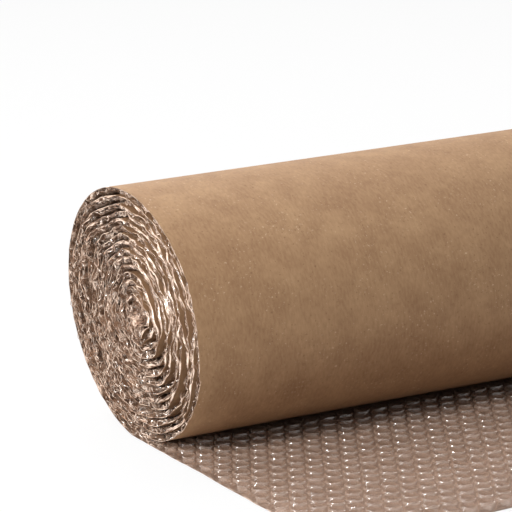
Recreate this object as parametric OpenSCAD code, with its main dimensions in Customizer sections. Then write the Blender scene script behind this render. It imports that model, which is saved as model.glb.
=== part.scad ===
// A soft roll of kraft-backed bubble wrap with no core, lying on its side with its free end pulled out.
// The wrap is one long strip: kraft paper on the outside and bubble film on the inside.
// X runs along the roll, +Z is up, and the free end lies toward -Y. The origin is below the middle.

/* [Roll] */
// Width of the wrap, which is the length of the roll
roll_w = 305; // [150:5:600]
// Radius of the outermost turn, from the middle of the roll down to the paper
roll_r = 69; // [45:0.5:110]
// Radius at which the innermost turn ends, as there is no core
inner_r = 6; // [6:0.5:20]
// How many times wider than tall the soft roll has settled
settle = 1.079; // [1:0.001:1.15]
// How far the roll leans to the back for each millimetre of height
lean = 0.14; // [0:0.01:0.2]
// Half the angle over which each turn lies flat at the bottom, in degrees
flat_angle = 10; // [5:0.5:14]

/* [Free end] */
// Length of the free end, from below the middle of the roll to its front edge
free_l = 199.5; // [130:0.5:400]

/* [Wrap] */
// Thickness of the kraft paper
paper_t = 0.25; // [0.15:0.05:0.5]
// Thickness of the film between the bubbles
film_t = 0.25; // [0.15:0.05:0.5]
// Diameter of a bubble
bubble_d = 10; // [8:0.5:16]
// Gap between neighbouring bubbles
bubble_gap = 1; // [0.5:0.1:3]
// Height of a free bubble, from the paper to its crown
bubble_h = 4; // [3:0.1:5]
// Height of a bubble that is pressed between two turns
pressed_h = 3.4; // [2.5:0.1:4]
// Air left between a turn's bubbles and the paper of the next turn
turn_gap = 0.45; // [0.4:0.05:1]

/* [Bubble shape] */
// How far a bubble's side leans in from its foot to its flat crown
side_lean = 1.4; // [0.8:0.1:3]

/* [Hidden] */
// How far a chord of the modelled turns may lie inside their true curve
curve_sag = 0.2;
// How deep a bubble's foot reaches into the film
foot = film_t / 2;
// How far apart the two points lie that give a turn's direction, in degrees
look = 1.5;

bubble_pitch = bubble_d + bubble_gap;
row_pitch = bubble_pitch * sin(60);
wrap_t = paper_t + pressed_h;
pitch = wrap_t + turn_gap;
end_angle = 360 * (roll_r - inner_r) / pitch;

// Centre of the roll above the floor, with the first turn's flat on it
function turn_r(a) = roll_r - pitch * a / 360;
roll_z = turn_r(flat_angle) * cos(flat_angle);

// A point of the leaning, settled spiral at angle a, counted from the bottom up the back
function spiral(a) =
    let (z = -turn_r(a) * cos(a))
    [settle * turn_r(a) * sin(a) + lean * z, roll_z + z];

function mix(p, q, f) = p + f * (q - p);

// The paper's outer face at angle a: the spiral, with a chord across the bottom of each turn
function path(a) =
    let (
        bottom = 360 * round(a / 360),
        from = spiral(bottom - flat_angle),
        to = spiral(bottom + flat_angle),
        f = (a - bottom + flat_angle) / (2 * flat_angle)
    )
    abs(a - bottom) >= flat_angle ? spiral(a)
        : bottom == 0 ? [mix(from[0], to[0], f), 0]
        : mix(from, to, f);

// A point at height t on the inner side of the paper at angle a
function on_wrap(a, t) =
    let (d = path(a + look) - path(a - look))
    path(a) + t * [-d[1], d[0]] / norm(d);

// Angle that a length along the wrap takes up at angle a
function angle_of(l, a) = l * 2 * look / norm(path(a + look) - path(a - look));

// Angles of the modelled points: each turn has a flat at the bottom and even steps round the rest
function step_angle(r) = 2 * acos(1 - curve_sag / r);
function steps(turn) = ceil((360 - 2 * flat_angle) / step_angle(turn_r(360 * turn)));
turn_angles = concat(
    [for (turn = [0 : floor(end_angle / 360)], i = [0 : steps(turn)])
        let (a = 360 * turn + flat_angle + i * (360 - 2 * flat_angle) / steps(turn))
        if (a < end_angle - look) a],
    [end_angle]
);

// The pressed bubbles begin at the front of the first turn's flat
wound_y = spiral(-flat_angle)[0];
front_y = -free_l;

// The free bubbles begin where the skin of the roll has risen clear of them
clear_angle = max([for (a = [300 : 0.5 : 360 - flat_angle])
    if (path(a)[1] > paper_t + bubble_h + turn_gap) a]);
free_y = path(clear_angle)[0];

// All the turns at height t on the inner side of the paper
function turn_side(t) = [for (a = turn_angles) on_wrap(a, t)];
function reversed(list) = [for (i = [len(list) - 1 : -1 : 0]) list[i]];

// One pressed bubble that begins at angle a: from its foot up to its crown, and down again
function arch(a) =
    let (outline = [
        [0, paper_t + film_t], [side_lean, wrap_t],
        [bubble_d - side_lean, wrap_t], [bubble_d, paper_t + film_t]
    ])
    [for (p = outline) on_wrap(a + angle_of(p[0], a), p[1])];
arch_angles = [for (a = -flat_angle; a < end_angle - angle_of(bubble_pitch, a);
    a = a + angle_of(bubble_pitch, a)) a];
arches = [for (a = arch_angles) each arch(a)];

// The roll's farthest reach to the back, which sets where the middle of the whole part is
back_y = max([for (p = turn_side(0)) p[0]]);
middle_y = (back_y + front_y) / 2;

// An outline of the roll's section, drawn out over the width of the wrap
module along_roll(outline)
    translate([-roll_w / 2, -middle_y, 0])
        rotate([90, 0, 90])
            linear_extrude(roll_w)
                polygon(outline);

// A free bubble standing on the film, with its foot sunk into it
module bubble()
    translate([0, 0, -foot])
        cylinder(h = bubble_h - film_t + foot, d1 = bubble_d, d2 = bubble_d - 2 * side_lean, $fn = 24);

// Bubbles in staggered rows over the free end, with whole bubbles up to each edge
module free_bubbles() {
    rows = floor((free_y - front_y - bubble_d) / row_pitch);
    columns = floor((roll_w - bubble_d) / bubble_pitch);
    for (row = [0 : rows], column = [0 : columns - row % 2])
        translate([
            (column - (columns - row % 2) / 2) * bubble_pitch,
            free_y - middle_y - bubble_d / 2 - row * row_pitch,
            paper_t + film_t
        ])
            bubble();
}

// The paper: the whole strip, on the outside of the roll and on the floor
module kraft_paper()
    color("tan")
        along_roll(concat(
            [[front_y, 0]], turn_side(0),
            reversed(turn_side(paper_t)), [[front_y, paper_t]]
        ));

// The film: pressed bubbles between the turns, which run through as ribs, and the free end's bubbles
module bubble_film()
    color("rosybrown")
        union() {
            along_roll(concat(
                [[front_y, paper_t]], turn_side(paper_t),
                [on_wrap(end_angle, paper_t + film_t)], reversed(arches),
                [[wound_y, paper_t + film_t], [front_y, paper_t + film_t]]
            ));
            free_bubbles();
        }

kraft_paper();
bubble_film();
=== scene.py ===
"""A soft, coreless roll of kraft-backed bubble wrap on its side, with its free end pulled out.

The wrap is modelled as it is made: it is laid out flat with its bubbles on, and then wound up.
On the flat wrap, X runs across it, Y runs along it from the front edge of the free end to the
innermost turn, and Z is the height above the outer face of the paper.
"""
import math

import bpy
import numpy as np
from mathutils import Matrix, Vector


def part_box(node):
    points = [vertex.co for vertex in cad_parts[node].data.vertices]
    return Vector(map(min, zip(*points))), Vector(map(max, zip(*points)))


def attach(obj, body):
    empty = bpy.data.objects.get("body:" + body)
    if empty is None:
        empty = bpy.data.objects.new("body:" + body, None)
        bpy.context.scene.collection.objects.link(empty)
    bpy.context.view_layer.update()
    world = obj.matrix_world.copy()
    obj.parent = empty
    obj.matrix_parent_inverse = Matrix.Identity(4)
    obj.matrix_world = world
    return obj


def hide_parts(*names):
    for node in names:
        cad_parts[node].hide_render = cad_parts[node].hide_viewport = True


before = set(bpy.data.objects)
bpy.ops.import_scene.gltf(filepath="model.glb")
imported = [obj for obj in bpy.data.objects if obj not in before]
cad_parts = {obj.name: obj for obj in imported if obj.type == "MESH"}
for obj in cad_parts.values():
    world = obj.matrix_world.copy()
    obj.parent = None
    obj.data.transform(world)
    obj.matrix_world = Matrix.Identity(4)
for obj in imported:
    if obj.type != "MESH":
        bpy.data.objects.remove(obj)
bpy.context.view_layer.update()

# Sizes of the wrap and of the roll, in metres
MM = 0.001
ROLL_W = 305 * MM
ROLL_R = 69 * MM
INNER_R = 6 * MM
SETTLE = 1.079
LEAN = 0.14
FLAT = math.radians(10)
FREE_L = 199.5 * MM
PAPER_T = 0.25 * MM
BUBBLE_D = 10 * MM
BUBBLE_PITCH = 11 * MM
BUBBLE_H = 4 * MM
PRESSED_H = 3.4 * MM
TURN_GAP = 0.45 * MM

TURN = 2 * math.pi
ROW_PITCH = BUBBLE_PITCH * math.sin(math.radians(60))
TURN_PITCH = PAPER_T + PRESSED_H + TURN_GAP
END_ANGLE = TURN * (ROLL_R - INNER_R) / TURN_PITCH
END_X = ROLL_W / 2
CENTRE_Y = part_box("kraft_paper")[0][1] + FREE_L

# Too small to show, where a sum or a comparison needs something more than nothing
HAIR = 0.001 * MM

# The foot of the film, just clear of the paper that it is bonded to
FILM_Z = PAPER_T + 0.04 * MM

# How far the outer turns have sprung open at the back, and how deep the ends are hollow in the middle
SPRUNG = 5.5 * MM
HOLLOW = 3.2 * MM

# Depth of the roll's ends in which the turns' bubbles are modelled, and the columns that it takes
END_DEPTH = 9 * MM
END_COLUMNS = 2

# Depth in which that film is divided more finely, next to the slit edge
FINE_DEPTH = 3.3 * MM

# Sides of a bubble's outline, and the step along the wrap of the loose edges and threads
BUBBLE_SIDES = 12
EDGE_STEP = 1.3 * MM

# Rings of a free bubble and of one that is pressed between two turns: share of radius, height
FREE_RINGS = [(1, 0), (0.99, 0.1 * BUBBLE_H), (0.955, 0.72 * BUBBLE_H), (0.89, 0.88 * BUBBLE_H),
              (0.72, 0.97 * BUBBLE_H), (0.35, BUBBLE_H)]
PRESSED_RINGS = [(1, 0), (0.96, 0.55 * PRESSED_H), (0.82, 0.9 * PRESSED_H), (0.5, 0.98 * PRESSED_H)]

# The crumpled film in the middle: its turns, their steps, its widest turn and how much each one shrinks
CORE_TURNS = 3.5
CORE_STEP = 0.0125
CORE_R = 6.6 * MM
CORE_PITCH = 1.7 * MM


# The route of the wound wrap


def turn_r(a):
    """The spiral's radius at an angle."""
    return ROLL_R - TURN_PITCH * a / TURN


ROLL_Z = turn_r(FLAT) * math.cos(FLAT)


def spiral(a):
    """Points of the settled, leaning spiral at angles counted from the bottom up the back."""
    z = -turn_r(a) * np.cos(a)
    return np.stack([SETTLE * turn_r(a) * np.sin(a) + LEAN * z, ROLL_Z + z], -1)


def turns(a):
    """The spiral, with each turn lying flat across the bottom and the first one on the floor."""
    bottom = TURN * np.round(a / TURN)
    start, end = spiral(bottom - FLAT), spiral(bottom + FLAT)
    flat = start + ((a - bottom + FLAT) / (2 * FLAT))[:, None] * (end - start)
    flat[:, 1] = np.where(bottom == 0, 0, flat[:, 1])
    return np.where((np.abs(a - bottom) < FLAT + HAIR)[:, None], flat, spiral(a))


def softened(points, reach):
    """The same route with its corners eased over a number of points each way."""
    padded = np.pad(points, ((reach, reach), (0, 0)), mode="edge")
    kernel = np.ones(2 * reach + 1) / (2 * reach + 1)
    eased = np.stack([np.convolve(padded[:, i], kernel, "valid") for i in (0, 1)], -1)
    ends = np.minimum(np.arange(len(points)), np.arange(len(points))[::-1])
    return np.where((ends < reach)[:, None], points, eased)


ANGLE_STEP = math.radians(0.5)
EASED_POINTS = 8
FREE_POINTS = 200
wound_route = softened(turns(np.arange(-FLAT, END_ANGLE, ANGLE_STEP)), EASED_POINTS)
free_y = np.linspace(-FREE_L, wound_route[0, 0], FREE_POINTS, endpoint=False)
route = np.concatenate([np.stack([free_y, 0 * free_y], -1), wound_route])
route_l = np.concatenate([[0], np.cumsum(np.hypot(*np.diff(route, axis=0).T))])
heading = np.gradient(route, axis=0)
heading /= np.hypot(*heading.T)[:, None]
WRAP_L = route_l[-1]
FREE_END = route_l[FREE_POINTS]
FIRST_TURN = TURN * ROLL_R

# Where the wound bubbles begin, and the middle of their first row
WOUND_START = FREE_END - 4 * MM
FIRST_ROW = WOUND_START - 0.4 * ROW_PITCH


def along(y, values):
    """Values given along the route, read at lengths y from the front edge."""
    return np.stack([np.interp(y, route_l, v) for v in values.T], -1)


def depth_in_roll(points):
    """How far each point of the section lies inside the roll's skin."""
    y = (points[:, 0] - LEAN * (points[:, 1] - ROLL_Z)) / SETTLE
    return ROLL_R - np.hypot(y, points[:, 1] - ROLL_Z)


# Small irregularities, the same at each run


class Waves:
    """A smooth, seeded field: a sum of waves with wavelengths between two limits."""

    def __init__(self, seed, count, shortest, longest, dims):
        draw = np.random.default_rng(seed)
        way = draw.normal(size=(count, dims))
        way /= np.linalg.norm(way, axis=1)[:, None]
        self.way = way * TURN / draw.uniform(shortest, longest, count)[:, None]
        self.phase = draw.uniform(0, TURN, count)
        self.size = math.sqrt(2 / count)

    def at(self, *where):
        points = np.stack(np.broadcast_arrays(*where), -1)
        return self.size * np.sin(points @ self.way.T + self.phase).sum(-1)


def rise(value, low, high):
    """0 below low, 1 above high and a smooth rise between."""
    share = np.clip((value - low) / (high - low), 0, 1)
    return share * share * (3 - 2 * share)


slack_y = Waves(11, 7, 24 * MM, 60 * MM, 3)
slack_z = Waves(12, 7, 24 * MM, 60 * MM, 3)
crumple_y = Waves(13, 12, 8 * MM, 18 * MM, 3)
crumple_z = Waves(14, 12, 8 * MM, 18 * MM, 3)
turn_drift = Waves(15, 8, 30 * MM, 140 * MM, 1)
edge_ripple = Waves(16, 10, 7 * MM, 22 * MM, 1)
lie = Waves(17, 9, 30 * MM, 70 * MM, 2)


# Points of a mesh


def places_of(mesh):
    """The places of a mesh's points, one to a row."""
    places = np.empty(len(mesh.vertices) * 3)
    mesh.vertices.foreach_get("co", places)
    return places.reshape(-1, 3)


def move_points(mesh, places):
    mesh.vertices.foreach_set("co", places.ravel())
    mesh.update()


# Winding up


def crowded(x, section, depth, wound):
    """How far the turns inside the roll are pushed about: together, so that none cuts another."""
    inside = wound * rise(depth, 1 * MM, 16 * MM) * rise(section[:, 1], 0, 14 * MM)
    crumple = 0.26 * MM + 0.8 * MM * rise(depth, ROLL_R - 24 * MM, ROLL_R - 8 * MM)
    where = (section[:, 0], section[:, 1], 0.35 * x)
    push_y = inside * (0.9 * MM * slack_y.at(*where) + crumple * crumple_y.at(*where))
    push_z = inside * (0.9 * MM * slack_z.at(*where) + crumple * crumple_z.at(*where))
    return np.stack([push_y, push_z], -1)


def sprung_open(section, depth, wound):
    """How far the turns move in where the outer ones have sprung open, low at the back of the roll."""
    inward = np.array([0, ROLL_Z]) - section
    inward /= np.hypot(*inward.T)[:, None] + HAIR
    back = rise(section[:, 0], -10 * MM, 40 * MM) * rise(section[:, 1], 10 * MM, 40 * MM)
    back = back * (1 - 0.9 * rise(section[:, 1], 65 * MM, 115 * MM))
    sprung = SPRUNG * back * rise(depth, 3 * MM, 16 * MM) * (1 - rise(depth, 14 * MM, 52 * MM))
    return (wound * sprung)[:, None] * inward


def drawn_in(x, y, depth, wound):
    """How far the edges of the turns are drawn in at the ends, which are slightly hollow and ragged."""
    side = np.sign(x)
    near_end = rise(np.abs(x), END_X - 45 * MM, END_X)
    hollow = HOLLOW * wound * rise(depth, 4 * MM, ROLL_R)
    loose = wound * rise(depth, 1 * MM, 6 * MM)
    drift = 0.9 * MM * loose * turn_drift.at(y + 0.3 * side)
    ripple = (0.08 + 0.32 * loose) * MM * edge_ripple.at(y + side)
    return side * near_end * (hollow + drift + ripple)


def wind(piece):
    """Winds a flat piece up: bends it along the route, then lets the turns crowd and drift a little."""
    x, y, t = places_of(piece.data).T
    y = np.clip(y, 0, WRAP_L)
    way = along(y, heading)
    section = along(y, route)
    depth = depth_in_roll(section)
    wound = rise(y, FREE_END, FREE_END + 60 * MM)
    section = section + t[:, None] * np.stack([-way[:, 1], way[:, 0]], -1)
    # The free end lies in low waves, in front of the roll
    free = (1 - wound) * rise(-section[:, 0], 30 * MM, 70 * MM)
    waves = 0.3 * MM * free * (1 + np.tanh(lie.at(x, y)))
    section = section + crowded(x, section, depth, wound) + sprung_open(section, depth, wound)
    x = x - drawn_in(x, y, depth, wound)
    move_points(piece.data, np.stack([x, section[:, 0] + CENTRE_Y, section[:, 1] + waves], -1))


# Modelling helpers


def start(name):
    """Takes the primitive that was just added as a piece of the wrap."""
    piece = bpy.context.object
    piece.name = piece.data.name = name
    return piece


def at_end(name, side):
    """The name of a piece at the left or the right end of the roll."""
    return f"{name}_{'left' if side < 0 else 'right'}_end"


def deselect():
    bpy.ops.object.select_all(action="DESELECT")


def only(piece):
    deselect()
    piece.select_set(True)
    bpy.context.view_layer.objects.active = piece


def edit(select_mode="VERT", action="SELECT"):
    """Starts work on the active piece, with all of it selected, or none."""
    bpy.ops.object.mode_set(mode="EDIT")
    bpy.ops.mesh.select_mode(type=select_mode)
    bpy.ops.mesh.select_all(action=action)


def object_mode():
    bpy.ops.object.mode_set(mode="OBJECT")


def apply(piece, kind, **settings):
    only(piece)
    modifier = piece.modifiers.new(kind.title(), kind)
    for name, value in settings.items():
        setattr(modifier, name, value)
    bpy.ops.object.modifier_apply(modifier=modifier.name)


def smooth(piece, degrees):
    """Shades a piece smooth, apart from edges that are sharper than an angle."""
    only(piece)
    bpy.ops.object.shade_smooth_by_angle(angle=math.radians(degrees))


def trim(piece, place, outward):
    """Cuts off what lies beyond a plane across the flat wrap."""
    only(piece)
    edit()
    bpy.ops.mesh.bisect(plane_co=place, plane_no=outward, clear_outer=True)
    object_mode()


def mark(mesh, name, values):
    """Gives each point of a mesh a value that the finish reads by its name."""
    mesh.attributes.new(name, "FLOAT", "POINT").data.foreach_set("value", values)


def flat_uv(piece):
    """A UV map that holds each corner's place on the flat wrap, in metres."""
    mesh = piece.data
    layer = mesh.uv_layers[0] if mesh.uv_layers else mesh.uv_layers.new(name="flat")
    layer.name = "flat"
    corners = np.empty(len(mesh.loops), dtype=int)
    mesh.loops.foreach_get("vertex_index", corners)
    layer.data.foreach_set("uv", places_of(mesh)[corners, :2].ravel())


def grid(name, xs, ys):
    """A flat sheet whose rows and columns lie at the given places."""
    deselect()
    bpy.ops.mesh.primitive_grid_add(x_subdivisions=len(xs) - 1, y_subdivisions=len(ys) - 1, size=2)
    piece = start(name)
    places = places_of(piece.data)
    column = np.rint((places[:, 0] + 1) / 2 * (len(xs) - 1)).astype(int)
    row = np.rint((places[:, 1] + 1) / 2 * (len(ys) - 1)).astype(int)
    places[:, 0], places[:, 1] = xs[column], ys[row]
    move_points(piece.data, places)
    return piece


# Finishes


class Shade:
    """One output of a node, on which sums are written as plain expressions."""

    def __init__(self, nodes, socket):
        self.nodes = nodes
        self.socket = socket

    def maths(self, operation, *values):
        return self.nodes.node("ShaderNodeMath", {"operation": operation}, *values)

    def cosine(self):
        return self.maths("COSINE", self)

    def __add__(self, other):
        return self.maths("ADD", self, other)

    def __sub__(self, other):
        return self.maths("SUBTRACT", self, other)

    def __rsub__(self, other):
        return self.maths("SUBTRACT", other, self)

    def __mul__(self, other):
        return self.maths("MULTIPLY", self, other)

    def __abs__(self):
        return self.maths("ABSOLUTE", self)

    __radd__ = __add__
    __rmul__ = __mul__


class Nodes:
    """The nodes of a material or of the world, with one method that makes them."""

    def __init__(self, tree):
        self.tree = tree

    def feed(self, socket, value):
        if isinstance(value, Shade):
            self.tree.links.new(value.socket, socket)
        else:
            socket.default_value = value

    def node(self, kind, settings=None, *values, output=0, **named):
        """Makes a node, sets it and feeds its sockets. A value of None leaves a socket as it is."""
        made = self.tree.nodes.new(kind)
        for name, value in (settings or {}).items():
            setattr(made, name, value)
        for socket, value in zip(made.inputs, values):
            if value is not None:
                self.feed(socket, value)
        for name, value in named.items():
            self.feed(made.inputs[name.replace("_", " ")], value)
        return Shade(self, made.outputs[output])

    def background(self):
        """1 for what the camera sees, also as a reflection, and 0 for the light that falls on things."""
        direct = self.node("ShaderNodeLightPath", output="Is Camera Ray")
        return direct + self.node("ShaderNodeLightPath", output="Is Glossy Ray")


class Finish(Nodes):
    """A material whose patterns follow the flat wrap."""

    def __init__(self, name):
        self.material = bpy.data.materials.new(name)
        self.material.use_nodes = True
        super().__init__(self.material.node_tree)
        self.shader = self.tree.nodes["Principled BSDF"]

    def set(self, **values):
        for name, value in values.items():
            self.feed(self.shader.inputs[name.replace("_", " ")], value)

    def on_wrap(self):
        return self.node("ShaderNodeUVMap", {"uv_map": "flat"})

    def across(self):
        """Place across the wrap, from its middle."""
        return self.node("ShaderNodeSeparateXYZ", None, self.on_wrap(), output="X")

    def lengthways(self):
        """Length along the wrap, from the front edge."""
        return self.node("ShaderNodeSeparateXYZ", None, self.on_wrap(), output="Y")

    def inner_turns(self):
        """0 on the free end and on the roll's skin, and 1 on the turns inside it."""
        skin_end = FREE_END + 0.9 * FIRST_TURN
        return self.between(self.lengthways(), skin_end, skin_end + 0.2 * FIRST_TURN)

    def noise(self, across, along, detail, offset=0.0):
        """A cloudy pattern, with about so many spots to a metre across and along the wrap."""
        place = self.node("ShaderNodeMapping", None, self.on_wrap(), (offset, offset, 0), (0, 0, 0),
                          (across, along, 1))
        return self.node("ShaderNodeTexNoise", None, Vector=place, Scale=1.0, Detail=detail)

    def marked(self, name):
        """A value that was marked on the points of the mesh."""
        return self.node("ShaderNodeAttribute", {"attribute_name": name}, output="Fac")

    def between(self, value, low, high):
        """0 where value is low or less, 1 where it is high or more."""
        return self.node("ShaderNodeMapRange", None, value, low, high, 0.0, 1.0)

    def mix(self, share, one, other):
        """One colour turning into another, which are the node's sockets 6 and 7."""
        return self.node("ShaderNodeMix", {"data_type": "RGBA"}, share, *[None] * 5, one, other, output=2)

    def bump(self, height, distance, strength):
        return self.node("ShaderNodeBump", None, Strength=strength, Distance=distance, Height=height)


def colour(red, green, blue):
    """A colour given as a paint chart gives it, from 0 to 255, as light."""
    parts = [c / 255 for c in (red, green, blue)]
    return tuple(c / 12.92 if c <= 0.04045 else ((c + 0.055) / 1.055) ** 2.4 for c in parts) + (1,)


def kraft_finish():
    """Brown kraft paper: fine fibres, soft smudges round the roll, and pale and dark specks."""
    kraft = Finish("kraft paper")
    fibres = kraft.noise(700, 260, 3.0)
    clouds = kraft.noise(20, 26, 3.0)
    smudges = kraft.noise(70, 60, 3.0, offset=3.0)
    specks = kraft.noise(620, 620, 1.0, offset=7.0)
    few = kraft.noise(40, 40, 1.0, offset=5.0)
    dents = kraft.noise(70, 150, 2.0, offset=2.0)
    tone = 0.38 * fibres + 0.26 * clouds + 0.36 * smudges
    base = kraft.mix(kraft.between(tone, 0.37, 0.63), colour(154, 118, 86), colour(181, 145, 109))
    pale = kraft.between(specks, 0.66, 0.74) * kraft.between(few, 0.4, 0.6)
    dark = kraft.between(1 - specks, 0.66, 0.74)
    base = kraft.mix(0.5 * pale, base, colour(226, 200, 170))
    base = kraft.mix(0.4 * dark, base, colour(112, 80, 54))
    # Little light reaches the turns inside the roll
    base = kraft.mix(0.42 * kraft.inner_turns(), base, colour(104, 74, 52))
    kraft.set(Base_Color=base, Roughness=0.6 + 0.16 * fibres, Specular_IOR_Level=0.3,
              Normal=kraft.bump(0.25 * fibres + 0.75 * dents, 0.3 * MM, 0.6))
    return kraft.material


def lining_finish():
    """The paper's inner face under its bonded film: greyer than the outside, and painted paler on the free
    end than in the wound turns.
    """
    lining = Finish("film-faced paper")
    share = lining.between(lining.noise(30, 60, 3.0), 0.35, 0.65)
    # Painted light and shade: the same paper is paler on the free end, out in the light, and darker in the
    # wound turns
    free = lining.mix(share, colour(134, 110, 95), colour(156, 131, 115))
    inside = lining.mix(share, colour(122, 92, 72), colour(172, 136, 110))
    wound = lining.between(lining.lengthways(), FREE_END, FREE_END + 40 * MM)
    base = lining.mix(wound, free, inside)
    # Shadow inside the bubbles that the slitting has cut open
    row = (lining.lengthways() - FIRST_ROW) * (TURN / ROW_PITCH)
    deep = lining.noise(180, 120, 2.0, offset=4.0)
    shadow = lining.between(row.cosine(), -0.1, 0.8) * lining.between(deep, 0.36, 0.52)
    base = lining.mix(0.8 * wound * shadow, base, colour(58, 36, 25))
    # Shadow along the edge of the outermost turn
    rim = lining.between(abs(lining.across()), END_X - 1.1 * MM, END_X - 0.7 * MM)
    rim = rim * (1 - lining.inner_turns())
    base = lining.mix(0.85 * wound * rim, base, colour(58, 38, 27))
    crease = lining.noise(240, 300, 2.0)
    lining.set(Base_Color=base, Roughness=0.5, Coat_Weight=0.25, Coat_Roughness=0.2,
               Normal=lining.bump(crease, 0.4 * MM, 0.6))
    return lining.material


def film_finish(name, crumple):
    """Clear bubble film, mostly see-through, with a pale haze edge on and painted glints along its
    creases.
    """
    film = Finish(name)
    haze = film.noise(160, 160, 3.0)
    crease = film.noise(300 + 200 * crumple, 300 - 100 * crumple, 3.0)
    fold = film.noise(260 + 160 * crumple, 190 - 80 * crumple, 2.0, offset=4.0)
    # Painted glints: white lines along the creases of the crumpled film, strongest near the slit edge
    crease_glints = film.between(1 - 2 * abs(fold - 0.5), 0.91, 0.98)
    slit = crumple * film.between(abs(film.across()), END_X - 2.6 * MM, END_X - 0.8 * MM)
    edge_on = film.node("ShaderNodeLayerWeight", None, 0.3, output="Facing")
    shaded_wall, shoulder = film.marked("shaded_wall"), film.marked("shoulder")
    # Painted shade: the steep sides turn dark brown, where shade falls between the rows
    skin = film.mix(shaded_wall, colour(204, 164, 134), colour(92, 64, 48))
    # Painted highlight: the shoulders are pale, and less clear so that their gloss shows
    skin = film.mix(shoulder, skin, colour(208, 180, 160))
    base = film.mix(crumple * crease_glints, skin, colour(252, 228, 208))
    cover = 0.02 + 0.06 * edge_on + 0.03 * haze + 0.26 * shaded_wall + (0.3 - 0.2 * crumple) * shoulder
    film.set(Base_Color=base, Roughness=0.13, IOR=2.8,
             Alpha=cover + (0.08 * crumple + 0.5 * slit) * crease_glints,
             Normal=film.bump(crease, 0.5 * MM, 0.16 + 0.64 * crumple))
    return film.material


def slit_edge_finish():
    """The paper's slit edge, with the pressed edge of the film on it, and with painted pale glints in
    places.
    """
    slit = Finish("slit paper edge")
    glint_spots = slit.between(slit.noise(200, 150, 2.0, offset=6.0), 0.45, 0.6)
    # Painted shade: the glints are fewer on the edge of the outermost turn, which is kept darker
    painted_glints = (0.3 + 0.7 * slit.inner_turns()) * glint_spots
    slit.set(Base_Color=slit.mix(painted_glints, colour(108, 78, 56), colour(238, 212, 188)),
             Roughness=0.3, Coat_Weight=0.5, Coat_Roughness=0.1)
    return slit.material


def film_edge_finish():
    """The slit edge of the film, with painted white glints in places, where light would run along it."""
    edge = Finish("film edge")
    painted_glints = edge.between(edge.noise(500, 130, 2.0), 0.43, 0.55)
    crease = edge.noise(900, 420, 2.0, offset=2.0)
    edge.set(Base_Color=edge.mix(painted_glints, colour(130, 94, 70), colour(238, 212, 192)),
             Roughness=0.22, IOR=1.9, Alpha=0.34 + 0.6 * painted_glints,
             Normal=edge.bump(crease, 0.6 * MM, 1.0))
    return edge.material


def dress(pieces, *materials):
    for piece in pieces:
        for material in materials:
            piece.data.materials.append(material)


# The paper


def columns():
    """Places across the wrap: close together at the ends, where the turns show, and wide between."""
    near_end = END_X - np.array([0, 0.8, 2, 4, 7, 11, 16, 22, 30]) * MM
    middle = np.linspace(-near_end[-1], near_end[-1], 13)[1:-1]
    return np.concatenate([-near_end, middle, near_end[::-1]])


def rows():
    """Places along the wrap: steps that shrink with the turns toward the middle of the roll."""
    places = np.arange(0, WRAP_L, 1 * MM)
    radius = ROLL_R - np.interp(places, route_l, depth_in_roll(route))
    step = np.where(places < FREE_END, 8 * MM, np.clip(radius * 0.07, 1.2 * MM, 4.5 * MM))
    count = np.cumsum(1 * MM / step)
    between = np.interp(np.arange(1, count[-1]), count, places)
    return np.concatenate([[0], between, [WRAP_L]])


def make_paper():
    """The kraft paper: the whole strip, wound up, with its outer face toward the outside."""
    paper = grid("kraft_paper_wrap", columns(), rows())
    dress([paper], kraft_finish(), lining_finish(), slit_edge_finish())
    flat_uv(paper)
    edit()
    bpy.ops.mesh.flip_normals()
    object_mode()
    wind(paper)
    apply(paper, "SOLIDIFY", thickness=PAPER_T, offset=-1, use_even_offset=True, material_offset=1,
          material_offset_rim=2)
    smooth(paper, 35)
    return paper


# The bubbles


def lift(radius, height):
    """Insets the selected cap of a bubble and sets the new ring's radius and height."""
    bpy.ops.mesh.inset(thickness=0.1 * MM)
    object_mode()
    for vertex in bpy.context.object.data.vertices:
        if vertex.select:
            out = Vector((vertex.co.x, vertex.co.y)).normalized() * radius
            vertex.co = (out.x, out.y, height)
    bpy.ops.object.mode_set(mode="EDIT")


def bubble_cell(name, rings):
    """A hexagonal patch of film with one bubble on it. Rings run from its foot up to its crown."""
    deselect()
    bpy.ops.mesh.primitive_circle_add(vertices=BUBBLE_SIDES, radius=1, fill_type="NGON")
    cell = start(name)
    for vertex in cell.data.vertices:
        angle = math.atan2(vertex.co.y, vertex.co.x)
        off_flat = (angle + math.pi / 6) % (math.pi / 3) - math.pi / 6
        reach = BUBBLE_PITCH / 2 / math.cos(off_flat)
        vertex.co = (reach * math.cos(angle), reach * math.sin(angle), FILM_Z)
    edit("FACE")
    for radius, height in rings:
        lift(radius * BUBBLE_D / 2, FILM_Z + height)
    object_mode()
    return cell


def film_sheet(name, rings, first_x, column_count, first_y, row_count):
    """Bubble film laid flat: cells in staggered rows, joined edge to edge."""
    film = bubble_cell(name, rings)
    only(film)
    bpy.ops.object.duplicate()
    bpy.context.object.location = (BUBBLE_PITCH / 2, ROW_PITCH, 0)
    film.select_set(True)
    bpy.context.view_layer.objects.active = film
    bpy.ops.object.join()
    apply(film, "ARRAY", count=column_count, use_relative_offset=False, use_constant_offset=True,
          constant_offset_displace=(BUBBLE_PITCH, 0, 0))
    apply(film, "ARRAY", count=(row_count + 1) // 2, use_relative_offset=False,
          use_constant_offset=True, constant_offset_displace=(0, 2 * ROW_PITCH, 0))
    only(film)
    edit()
    bpy.ops.mesh.remove_doubles(threshold=0.02 * MM)
    bpy.ops.transform.translate(value=(first_x, first_y, 0))
    object_mode()
    return film


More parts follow.
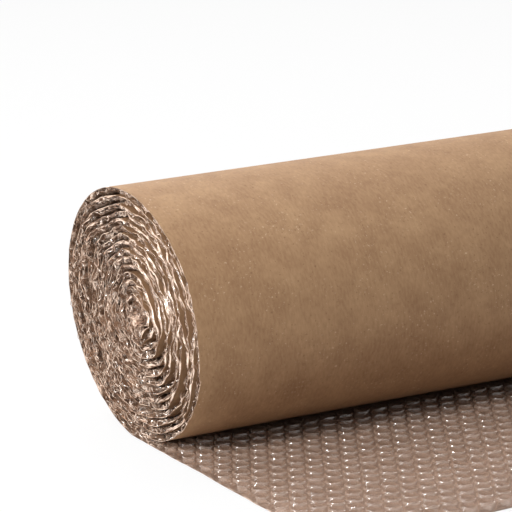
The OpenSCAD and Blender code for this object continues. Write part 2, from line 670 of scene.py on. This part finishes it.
def mark_bubbles(film, crown):
    """Marks the bubbles' steep sides, seen edge on and painted dark as shade, and their rounded shoulders.
    """
    mesh = film.data
    share = (places_of(mesh)[:, 2] - FILM_Z) / crown
    facing = np.empty(len(mesh.vertices) * 3)
    mesh.vertices.foreach_get("normal", facing)
    lengthways = facing.reshape(-1, 3)[:, 1] ** 2
    steep = rise(share, 0, 0.1) * (1 - rise(share, 0.5, 0.8))
    # Painted shade: the sides that face along the wrap, between the rows, are marked the most
    mark(mesh, "shaded_wall", (0.2 + 0.8 * lengthways) * steep)
    mark(mesh, "shoulder", rise(share, 0.5, 0.8) * (1 - rise(share, 0.9, 0.98)))


def settle_bubbles(film, spread, seed):
    """Lets each bubble lose some height, and wrinkles its skin a little."""
    places = places_of(film.data)
    soft = Waves(seed, 12, 14 * MM, 40 * MM, 2)
    fine = Waves(seed + 1, 14, 2.2 * MM, 5 * MM, 3)
    height = places[:, 2] - PAPER_T
    keep = 1 - spread * (0.5 + 0.5 * np.tanh(soft.at(places[:, 0], places[:, 1])))
    places[:, 2] = PAPER_T + height * keep * (1 + 0.06 * fine.at(*places.T))
    move_points(film.data, places)


def divide_edge(film, side):
    """Divides the film more finely next to its slit edge."""
    only(film)
    edit("FACE", "DESELECT")
    object_mode()
    for face in film.data.polygons:
        face.select = side * face.center.x > END_X - FINE_DEPTH
    bpy.ops.object.mode_set(mode="EDIT")
    bpy.ops.mesh.select_mode(type="FACE")
    bpy.ops.mesh.subdivide(number_cuts=2)
    object_mode()


def crumple_edge(film, side, seed):
    """Lets the bubbles that the slitting has cut open collapse and pucker."""
    places = places_of(film.data)
    x, y, z = places.T.copy()
    near = rise(side * x, END_X - 5 * MM, END_X)
    height = rise(z, PAPER_T, PAPER_T + 1 * MM)
    collapse = np.clip(0.34 + 0.3 * Waves(seed + 10, 12, 9 * MM, 30 * MM, 2).at(x, y), 0.03, 0.85)
    pucker = Waves(seed + 11, 14, 2.4 * MM, 6 * MM, 1).at(y)
    wrinkle = 0.12 * np.random.default_rng(seed).normal(size=(3, len(places)))
    for i in range(3):
        wrinkle[i] += Waves(seed + 12 + i, 14, 2.5 * MM, 8 * MM, 2).at(x, y)
    places[:, 0] -= side * near * height * 0.4 * MM * np.abs(wrinkle[0])
    places[:, 1] += near * height * 0.3 * MM * wrinkle[1]
    places[:, 2] = PAPER_T + (z - PAPER_T) * (1 - collapse * near)
    places[:, 2] += near * height * (0.3 * wrinkle[2] + 0.25 * pucker) * MM
    places[:, 2] = np.clip(places[:, 2], FILM_Z, PAPER_T + PRESSED_H + 0.1 * MM)
    move_points(film.data, places)


def make_free_film():
    """The bubble film on the free end, trimmed to the width and to the front edge."""
    column_count = math.ceil(ROLL_W / BUBBLE_PITCH) + 2
    row_count = math.ceil(FREE_END / ROW_PITCH) + 1
    first_x = -(column_count - 1) / 2 * BUBBLE_PITCH
    film = film_sheet("bubble_film_free_end", FREE_RINGS, first_x, column_count, -0.3 * ROW_PITCH,
                      row_count)
    trim(film, (END_X, 0, 0), (1, 0, 0))
    trim(film, (-END_X, 0, 0), (-1, 0, 0))
    trim(film, (0, 0, 0), (0, -1, 0))
    trim(film, (0, WOUND_START, 0), (0, 1, 0))
    flat_uv(film)
    mark_bubbles(film, BUBBLE_H)
    settle_bubbles(film, 0.14, 41)
    wind(film)
    smooth(film, 40)
    return film


def make_end_film(side):
    """The bubble film in the turns near one end of the roll, cut through where the wrap was slit."""
    row_count = math.ceil((WRAP_L - WOUND_START) / ROW_PITCH) + 1
    # The slit passes the middles of a column of bubbles at a quarter of their pitch
    first_x = -END_X - 0.25 * BUBBLE_PITCH
    if side > 0:
        first_x = END_X - (END_COLUMNS - 0.75) * BUBBLE_PITCH
    film = film_sheet(at_end("bubble_film", side), PRESSED_RINGS, first_x, END_COLUMNS, FIRST_ROW,
                      row_count)
    trim(film, (side * END_X, 0, 0), (side, 0, 0))
    trim(film, (side * (END_X - END_DEPTH), 0, 0), (-side, 0, 0))
    trim(film, (0, WOUND_START, 0), (0, -1, 0))
    trim(film, (0, WRAP_L, 0), (0, 1, 0))
    flat_uv(film)
    mark_bubbles(film, PRESSED_H)
    settle_bubbles(film, 0.3, 51 + side)
    divide_edge(film, side)
    crumple_edge(film, side, 61 + side)
    wind(film)
    # Only the cut edges get a width, as the slitting leaves a small bead there
    apply(film, "SOLIDIFY", thickness=0.45 * MM, offset=-1, use_rim=True, use_rim_only=True)
    smooth(film, 40)
    return film


# Loose film on the ends


def make_lip(side):
    """The edge of the sealed film at one slit end, which has come loose and crinkled along every turn."""
    across = side * (END_X - np.array([0.7, 0.3, -0.3]) * MM)
    lip = grid(at_end("film_lip", side), np.sort(across), np.arange(0, WRAP_L, EDGE_STEP))
    flat_uv(lip)
    places = places_of(lip.data)
    x, y, z = places.T
    inner = 1 - 0.9 * rise(-y, -FREE_END - FIRST_TURN, -FREE_END - 0.9 * FIRST_TURN)
    out = inner * rise(side * x, END_X - 0.7 * MM, END_X + 0.3 * MM)
    core = 1 + 1.2 * rise(y, WRAP_L - 150 * MM, WRAP_L - 40 * MM)
    wrinkle = np.random.default_rng(81 + side).normal(size=(3, len(places)))
    curl = 0.55 + 0.4 * Waves(71 + side, 12, 7 * MM, 24 * MM, 2).at(x, y) + 0.07 * wrinkle[0]
    z[:] = FILM_Z + core * out * np.clip(curl, 0, 2.6) * 1.1 * MM
    x += side * out * 0.12 * MM * wrinkle[1]
    y += out * 0.15 * MM * wrinkle[2]
    move_points(lip.data, places)
    wind(lip)
    smooth(lip, 50)
    return lip


def make_strand(side, number):
    """A thread of the torn film that wanders between one turn and the next at a slit end."""
    across = side * (END_X - np.array([0.4, 0.05]) * MM)
    lengths = np.arange(FREE_END, WRAP_L, EDGE_STEP)
    strand = grid(at_end(f"film_strand_{number}", side), np.sort(across), lengths)
    flat_uv(strand)
    places = places_of(strand.data)
    x, y = places[:, 0].copy(), places[:, 1].copy()
    seed = 101 + 10 * number + side
    draw = np.random.default_rng(seed)
    height = 0.5 + 0.3 * Waves(seed, 12, 14 * MM, 50 * MM, 1).at(y) + 0.015 * draw.normal(size=len(y))
    places[:, 0] += side * 0.5 * MM * Waves(seed + 1, 12, 5 * MM, 20 * MM, 1).at(y)
    places[:, 2] = PAPER_T + PRESSED_H * np.clip(height, 0.04, 0.98)
    places[:, 2] += 0.1 * MM * rise(side * x, END_X - 0.4 * MM, END_X) * draw.normal(size=len(y))
    move_points(strand.data, places)
    wind(strand)
    smooth(strand, 60)
    return strand


def make_core(side):
    """The film of the wrap's inner end, crumpled together in the middle of the roll."""
    across = side * (END_X - np.array([9, 7, 5.6, 4.6, 3.8, 3.1, 2.5, 2]) * MM)
    core = grid(at_end("film_core", side), np.sort(across), np.arange(0, CORE_TURNS, CORE_STEP))
    places = places_of(core.data)
    x, turn = places[:, 0].copy(), places[:, 1].copy()
    # Its patterns are those of film that is 20 mm long to a turn
    places[:, 1] = turn * 20 * MM
    move_points(core.data, places)
    flat_uv(core)
    radius = CORE_R - CORE_PITCH * turn
    y, z = radius * np.sin(TURN * turn), -radius * np.cos(TURN * turn)
    tip = rise(side * x, END_X - 6 * MM, END_X - 2.4 * MM)
    bend = [Waves(91 + 3 * side + i, 14, 1.8 * MM, 7 * MM, 3).at(0.5 * x, y, z) for i in range(3)]
    places[:, 0] = x + side * tip * 0.8 * MM * bend[0]
    places[:, 1] = CENTRE_Y + SETTLE * y + LEAN * z + (0.5 + 0.3 * tip) * MM * bend[1]
    places[:, 2] = ROLL_Z + 1.15 * z + (0.5 + 0.3 * tip) * MM * bend[2]
    move_points(core.data, places)
    smooth(core, 50)
    return core


# The object

SIDES = (-1, 1)
paper = make_paper()
free_film = make_free_film()
end_films = [make_end_film(side) for side in SIDES]
loose_film = [make_lip(side) for side in SIDES] + [make_core(side) for side in SIDES]
loose_film += [make_strand(side, number) for side in SIDES for number in (1, 2, 3)]
dress([free_film], film_finish("clear bubble film", 0))
dress(end_films, film_finish("crumpled bubble film", 1))
dress(loose_film, film_edge_finish())
for film in [free_film] + end_films + loose_film:
    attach(film, "root")
    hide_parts("bubble_film")
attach(paper, "root")
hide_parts("kraft_paper")


# Floor, light and camera


def lamp(name, place, target, width, height, watts):
    light = bpy.data.lights.new(name, "AREA")
    light.shape = "RECTANGLE"
    light.size, light.size_y, light.energy = width, height, watts
    holder = bpy.data.objects.new(name, light)
    bpy.context.collection.objects.link(holder)
    holder.location = place
    holder.rotation_euler = (Vector(target) - Vector(place)).to_track_quat("-Z", "Y").to_euler()


def floor_finish():
    """A pale floor that shows white and keeps the object's shadow."""
    ground = Finish("pale floor")
    ground.set(Base_Color=(0.85, 0.85, 0.85, 1), Roughness=0.9)
    plain = Shade(ground, ground.shader.outputs[0])
    glow = ground.node("ShaderNodeEmission", None, (1, 1, 1, 1), 1.0)
    whole = ground.node("ShaderNodeMixShader", None, 0.88 * ground.background(), plain, glow)
    ground.feed(ground.tree.nodes["Material Output"].inputs["Surface"], whole)
    return ground.material


def light_world(world, ambient):
    """A white background, which lights the object by a smaller part of its strength."""
    world.use_nodes = True
    sky = Nodes(world.node_tree)
    backdrop = sky.tree.nodes["Background"]
    strength = sky.node("ShaderNodeMapRange", None, sky.background(), 0.0, 1.0, ambient, 1.0)
    sky.feed(backdrop.inputs["Color"], (1, 1, 1, 1))
    sky.feed(backdrop.inputs["Strength"], strength)


deselect()
bpy.ops.mesh.primitive_plane_add(size=8)
floor = start("floor")
floor.location = (0, 0, -0.05 * MM)
dress([floor], floor_finish())

scene = bpy.context.scene
scene.world = bpy.data.worlds.new("studio")
light_world(scene.world, 0.17)

LEFT_END = (-0.15, 0.05, 0.06)
RIGHT_END = (0.15, 0.05, 0.06)
lamp("overhead softbox", (-0.1, 0.45, 1.05), (0, 0, 0.05), 1.1, 0.8, 7.9)
lamp("rim light", (0.1, 1.3, 0.8), (0, 0.1, 0.1), 1.0, 0.4, 4.5)
lamp("end light", (-1.2, -0.2, 0.6), LEFT_END, 0.3, 0.2, 15.5)
lamp("low end light", (-1.1, 0, 0.05), (-0.15, 0.05, 0.08), 0.12, 0.12, 2.6)
lamp("far end light", (1.3, 0.25, 0.5), RIGHT_END, 0.4, 0.3, 4.5)

# The camera stands where the photograph was taken from
AZIMUTH = math.radians(30.66)
ELEVATION = math.radians(15.37)
DISTANCE = 1.942
level = math.cos(ELEVATION)
view_way = Vector((math.sin(AZIMUTH) * level, math.cos(AZIMUTH) * level, -math.sin(ELEVATION)))
look_at = Vector((76 * MM - END_X, CENTRE_Y, 90.2 * MM))
camera_data = bpy.data.cameras.new("camera")
camera_data.sensor_width = 36
camera_data.lens = 251.94
camera_data.clip_end = 20
camera = bpy.data.objects.new("camera", camera_data)
bpy.context.collection.objects.link(camera)
camera.location = look_at - view_way * DISTANCE
camera.rotation_euler = view_way.to_track_quat("-Z", "Y").to_euler()
scene.camera = camera
scene.view_settings.view_transform = "Standard"
